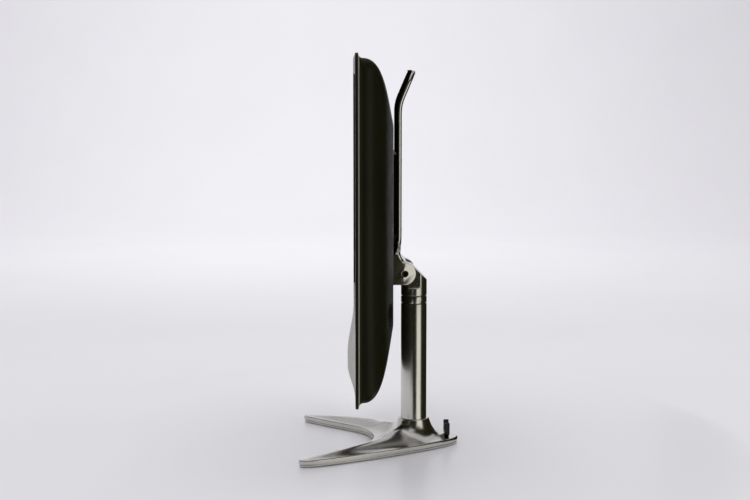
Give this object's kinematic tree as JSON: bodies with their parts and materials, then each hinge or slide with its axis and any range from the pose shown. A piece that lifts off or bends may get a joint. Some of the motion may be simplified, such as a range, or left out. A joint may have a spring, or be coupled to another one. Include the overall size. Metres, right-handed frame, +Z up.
{
  "type": "flat screen tv",
  "caption": "Flat screen tv with a domed back, bowed speaker grille, carry-handle bracket and tilt head on a round swivel column with a two-legged foot.",
  "frame": {"origin": "middle of the footprint on the surface that it stands on", "axes": "+Z up, the screen faces -Y, X across the screen"},
  "size_m": [0.468, 0.212, 0.522],
  "materials": {
    "shell": "fine grain, dark olive black",
    "grille": "satin light grey",
    "window_red": "dark red, polished",
    "light_pipe": "translucent green",
    "board_green": "solder mask",
    "board_tan": "bare laminate",
    "screen_glass": "dark anti-glare",
    "diffuser": "milky sheet",
    "lamp_glass": "white phosphor",
    "white_plastic": "moulded",
    "sheet_metal": "plain sheet",
    "zinc_steel": "zinc plated",
    "dark_steel": "blackened",
    "brass": "turned",
    "black_plastic": "moulded",
    "socket_cream": "moulded",
    "copper_winding": "taped winding",
    "paper_cone": "pressed pulp",
    "satin_nickel": "satin nickel, warm",
    "bracket_nickel": "satin nickel, warm",
    "bush_plastic": "moulded",
    "rubber": "soft"
  },
  "bodies": {
    "stand": {"thrust_washer": "bush_plastic", "swivel_ring": "satin_nickel", "column_bush": "bush_plastic", "column_tube": "satin_nickel", "column_plug": "zinc_steel", "column_bolt": "dark_steel", "foot_casting": "satin_nickel", "foot_plate": "satin_nickel", "foot_screws": "dark_steel", "rubber_feet": "rubber", "cable_clip": "black_plastic"},
    "head": {"swivel_head": "satin_nickel", "tilt_bushes": "brass", "friction_washers": "bush_plastic", "swivel_spindle": "zinc_steel", "spindle_nut": "zinc_steel"},
    "panel": {"front_bezel": "shell", "speaker_grille": "grille", "remote_window": "window_red", "power_light": "light_pipe", "signal_board": "board_green", "lcd_glass": "screen_glass", "diffuser_sheet": "diffuser", "lamp_tubes": "lamp_glass", "lamp_holders": "white_plastic", "lamp_tray": "sheet_metal", "panel_brackets": "zinc_steel", "bracket_screws": "zinc_steel", "chassis_plate": "sheet_metal", "board_standoffs": "brass", "main_board": "board_green", "tuner_can": "sheet_metal", "heat_sink": "sheet_metal", "power_board": "board_tan", "transformer": "copper_winding", "power_capacitors": "black_plastic", "jack_plate": "sheet_metal", "av_sockets": "socket_cream", "antenna_socket": "zinc_steel", "power_inlet": "black_plastic", "speaker_boxes": "black_plastic", "speaker_frames": "dark_steel", "speaker_cones": "paper_cone", "bass_ports": "black_plastic", "rear_cover": "shell", "cover_screws": "dark_steel", "mount_posts": "sheet_metal", "mount_pad": "black_plastic", "spine": "bracket_nickel", "spine_screws": "satin_nickel", "pivot_pin": "dark_steel", "button_board": "board_green", "tact_switches": "black_plastic"},
    "power_key": {"power_key": "shell"},
    "input_key": {"input_key": "shell"},
    "channel_up_key": {"channel_up_key": "shell"},
    "channel_down_key": {"channel_down_key": "shell"},
    "volume_up_key": {"volume_up_key": "shell"},
    "volume_down_key": {"volume_down_key": "shell"}
  },
  "joints": [
    {"name": "swivel", "type": "hinge", "parent": "stand", "child": "head", "pos_m": [0, 0.046, 0.204], "axis": [0, 0, 1], "range_deg": [-45, 45]},
    {"name": "tilt", "type": "hinge", "parent": "head", "child": "panel", "pos_m": [0, 0.0327, 0.236], "axis": [1, 0, 0], "range_deg": [-15, 5]},
    {"name": "power_key_press", "type": "slide", "parent": "panel", "child": "power_key", "axis": [1, 0, 0], "range_m": [0, 0.0012], "stiffness_N_per_m": 900},
    {"name": "input_key_press", "type": "slide", "parent": "panel", "child": "input_key", "axis": [1, 0, 0], "range_m": [0, 0.0012], "stiffness_N_per_m": 900},
    {"name": "channel_up_key_press", "type": "slide", "parent": "panel", "child": "channel_up_key", "axis": [1, 0, 0], "range_m": [0, 0.0012], "stiffness_N_per_m": 900},
    {"name": "channel_down_key_press", "type": "slide", "parent": "panel", "child": "channel_down_key", "axis": [1, 0, 0], "range_m": [0, 0.0012], "stiffness_N_per_m": 900},
    {"name": "volume_up_key_press", "type": "slide", "parent": "panel", "child": "volume_up_key", "axis": [1, 0, 0], "range_m": [0, 0.0012], "stiffness_N_per_m": 900},
    {"name": "volume_down_key_press", "type": "slide", "parent": "panel", "child": "volume_down_key", "axis": [1, 0, 0], "range_m": [0, 0.0012], "stiffness_N_per_m": 900}
  ]
}
